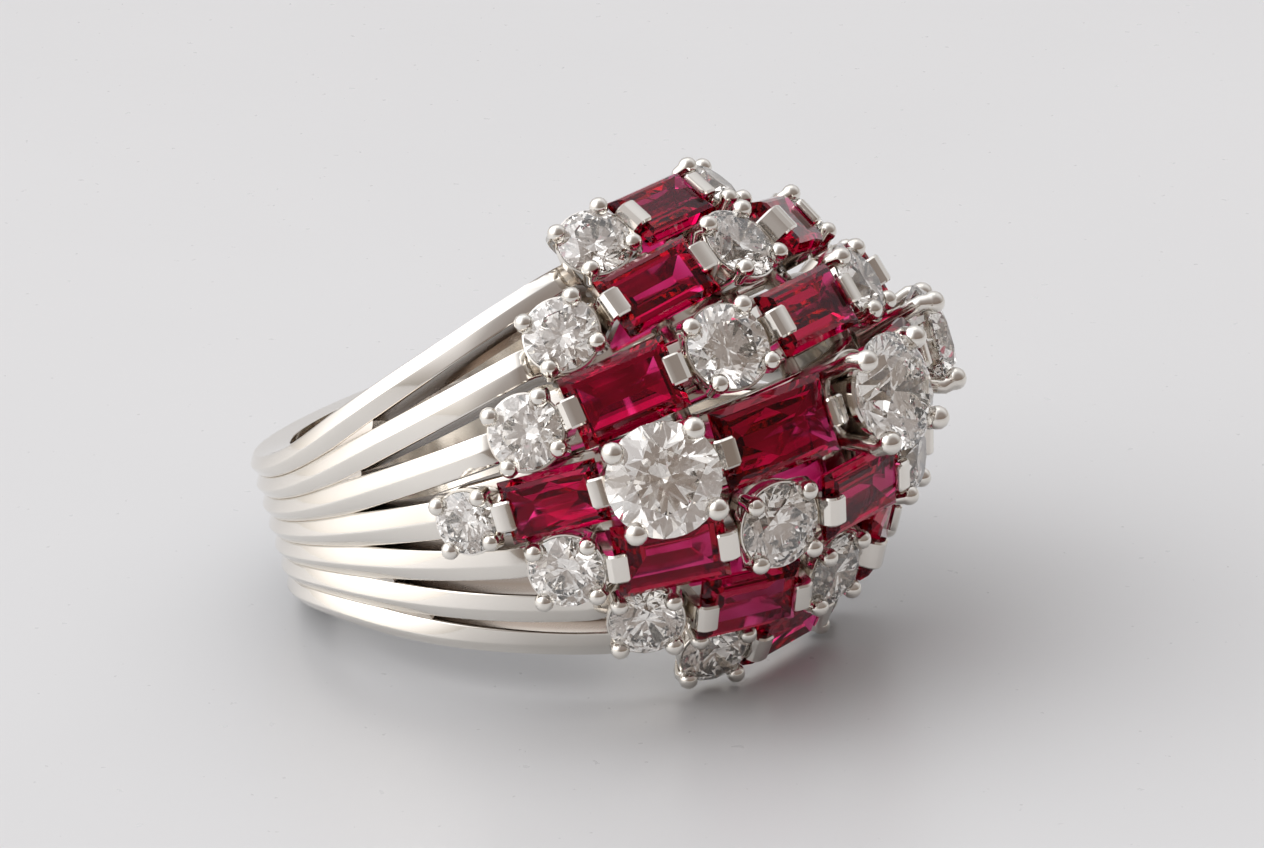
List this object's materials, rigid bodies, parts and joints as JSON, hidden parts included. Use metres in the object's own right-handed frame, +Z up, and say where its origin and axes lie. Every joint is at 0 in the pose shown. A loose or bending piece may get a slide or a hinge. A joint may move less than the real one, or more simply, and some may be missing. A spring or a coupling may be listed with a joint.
{
  "type": "cocktail ring",
  "caption": "Bombe cocktail ring: fluted hoops fan out from the band and carry a domed checkerboard of round diamonds and step-cut rubies.",
  "frame": {"origin": "centre of the finger hole", "axes": "the ring lies on its side as on a table: +Z up, +X towards the jewelled head, Y across it; the finger hole's axis leans 19.5 degrees back from +Z"},
  "size_m": [0.0271, 0.0234, 0.0169],
  "materials": {
    "platinum": "polished",
    "diamond": "polished",
    "ruby": "polished"
  },
  "bodies": {
    "root": {"hoop_1": "platinum", "hoop_2": "platinum", "hoop_3": "platinum", "hoop_4": "platinum", "hoop_5": "platinum", "hoop_6": "platinum", "hoop_7": "platinum", "diamond_row_1_3": "diamond", "ruby_row_1_2": "ruby", "diamond_row_1_1": "diamond", "diamond_row_2_5": "diamond", "ruby_row_2_4": "ruby", "diamond_row_2_3": "diamond", "ruby_row_2_2": "ruby", "diamond_row_2_1": "diamond", "diamond_row_3_7": "diamond", "ruby_row_3_6": "ruby", "diamond_row_3_5": "diamond", "ruby_row_3_4": "ruby", "diamond_row_3_3": "diamond", "ruby_row_3_2": "ruby", "diamond_row_3_1": "diamond", "diamond_row_4_9": "diamond", "ruby_row_4_8": "ruby", "diamond_row_4_7": "diamond", "ruby_row_4_6": "ruby", "diamond_row_4_5": "diamond", "ruby_row_4_4": "ruby", "diamond_row_4_3": "diamond", "ruby_row_4_2": "ruby", "diamond_row_4_1": "diamond", "diamond_row_5_7": "diamond", "ruby_row_5_6": "ruby", "diamond_row_5_5": "diamond", "ruby_row_5_4": "ruby", "diamond_row_5_3": "diamond", "ruby_row_5_2": "ruby", "diamond_row_5_1": "diamond", "diamond_row_6_5": "diamond", "ruby_row_6_4": "ruby", "diamond_row_6_3": "diamond", "ruby_row_6_2": "ruby", "diamond_row_6_1": "diamond", "diamond_row_7_3": "diamond", "ruby_row_7_2": "ruby", "diamond_row_7_1": "diamond", "collets_row_1": "platinum", "collets_row_2": "platinum", "collets_row_3": "platinum", "collets_row_4": "platinum", "collets_row_5": "platinum", "collets_row_6": "platinum", "collets_row_7": "platinum", "claws_row_4": "platinum", "claws_rows_3_and_5": "platinum", "claws_rows_2_and_6": "platinum", "claws_rows_1_and_7": "platinum", "bridge_bars": "platinum"}
  },
  "joints": []
}
